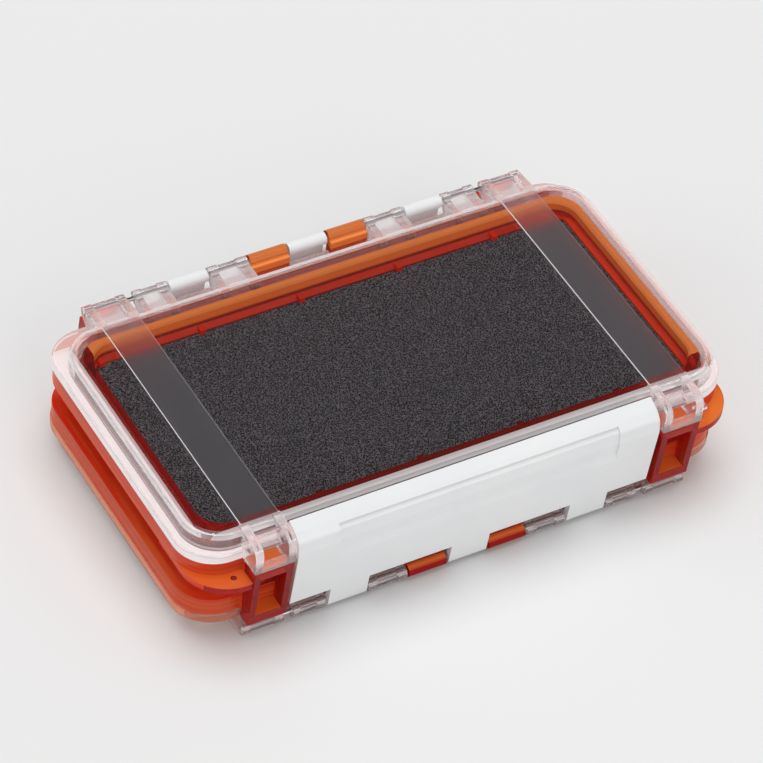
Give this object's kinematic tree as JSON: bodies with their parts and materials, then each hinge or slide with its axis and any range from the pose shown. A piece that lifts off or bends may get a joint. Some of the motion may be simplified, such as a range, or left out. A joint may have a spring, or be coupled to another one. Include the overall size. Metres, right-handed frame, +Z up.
{
  "type": "waterproof fly box",
  "caption": "Flat double-sided fly box: a translucent body with foam pads, clear hinged lids over both sides, and a wide latch panel that clips over the front lip of each lid.",
  "frame": {"origin": "centre of the closed box on the plane it lies on", "axes": "+X along the length, +Y towards the hinge edge of the upper lid, +Z up through the upper lid"},
  "size_m": [0.15, 0.0962, 0.0346],
  "materials": {
    "translucent_orange": "gloss",
    "clear_plastic": "gloss",
    "white_plastic": "satin",
    "foam": "matte",
    "gasket_rubber": "matte",
    "pin_steel": "satin"
  },
  "bodies": {
    "box": {"body_shell": "translucent_orange", "top_foam": "foam", "bottom_foam": "foam", "top_gasket": "gasket_rubber", "bottom_gasket": "gasket_rubber", "rear_hinge_pin": "pin_steel", "front_hinge_pin": "pin_steel"},
    "upper_lid": {"top_lid": "clear_plastic"},
    "lower_lid": {"bottom_lid": "clear_plastic"},
    "latch_front": {"front_latch": "white_plastic"},
    "latch_rear": {"rear_latch": "white_plastic"}
  },
  "joints": [
    {"name": "top_lid_hinge", "type": "hinge", "parent": "box", "child": "upper_lid", "pos_m": [0, 0.043, 0.0318], "axis": [-1, 0, 0], "range_deg": [0, 150]},
    {"name": "rear_latch_hinge", "type": "hinge", "parent": "box", "child": "latch_rear", "pos_m": [0, 0.043, 0.0318], "axis": [1, 0, 0], "range_deg": [0, 80]},
    {"name": "bottom_lid_hinge", "type": "hinge", "parent": "box", "child": "lower_lid", "pos_m": [0, -0.043, 0.0028], "axis": [-1, 0, 0], "range_deg": [0, 150]},
    {"name": "front_latch_hinge", "type": "hinge", "parent": "box", "child": "latch_front", "pos_m": [0, -0.043, 0.0028], "axis": [1, 0, 0], "range_deg": [0, 80]}
  ]
}
